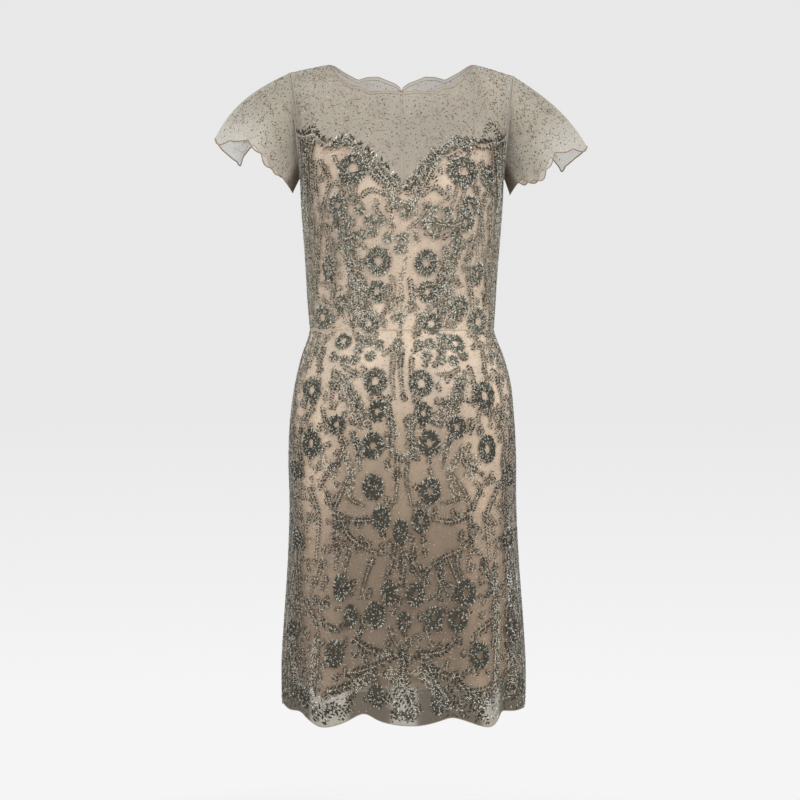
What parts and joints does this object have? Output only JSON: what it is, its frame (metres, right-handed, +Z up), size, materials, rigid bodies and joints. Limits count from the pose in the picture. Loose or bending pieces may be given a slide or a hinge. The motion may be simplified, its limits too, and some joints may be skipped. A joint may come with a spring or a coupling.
{
  "type": "evening dress",
  "caption": "Short fitted evening dress of beaded sheer net over a nude slip, with scalloped cap sleeves, worn and hollow.",
  "frame": {"origin": "midway between the shoulder seams' neck ends, where the wearer's shoulders hold the dress up", "axes": "+Z up along the body, -Y out of the front, +X to the viewer's right from the front"},
  "size_m": [0.5435, 0.264, 0.9408],
  "materials": {
    "beaded_tulle": "sheer net with beadwork",
    "sheer_tulle": "sheer net, matt",
    "nude_lining": "soft satin",
    "zip_metal": "dull"
  },
  "bodies": {
    "dress": {"bodice_front": "beaded_tulle", "bodice_back_left": "beaded_tulle", "bodice_back_right": "beaded_tulle", "skirt_front": "beaded_tulle", "skirt_back_left": "beaded_tulle", "skirt_back_right": "beaded_tulle", "slip_bodice_front": "nude_lining", "slip_bodice_back_left": "nude_lining", "slip_bodice_back_right": "nude_lining", "slip_skirt_front": "nude_lining", "slip_skirt_back_left": "nude_lining", "slip_skirt_back_right": "nude_lining", "sleeve_left": "sheer_tulle", "sleeve_right": "sheer_tulle", "zip_slider": "zip_metal"},
    "zip_pull": {"zip_pull": "zip_metal"}
  },
  "joints": [
    {"name": "pull_swing", "type": "hinge", "parent": "dress", "child": "zip_pull", "pos_m": [0.00015, 0.07421, -0.06849], "axis": [1, 0, 0], "range_deg": [0, 140]}
  ]
}
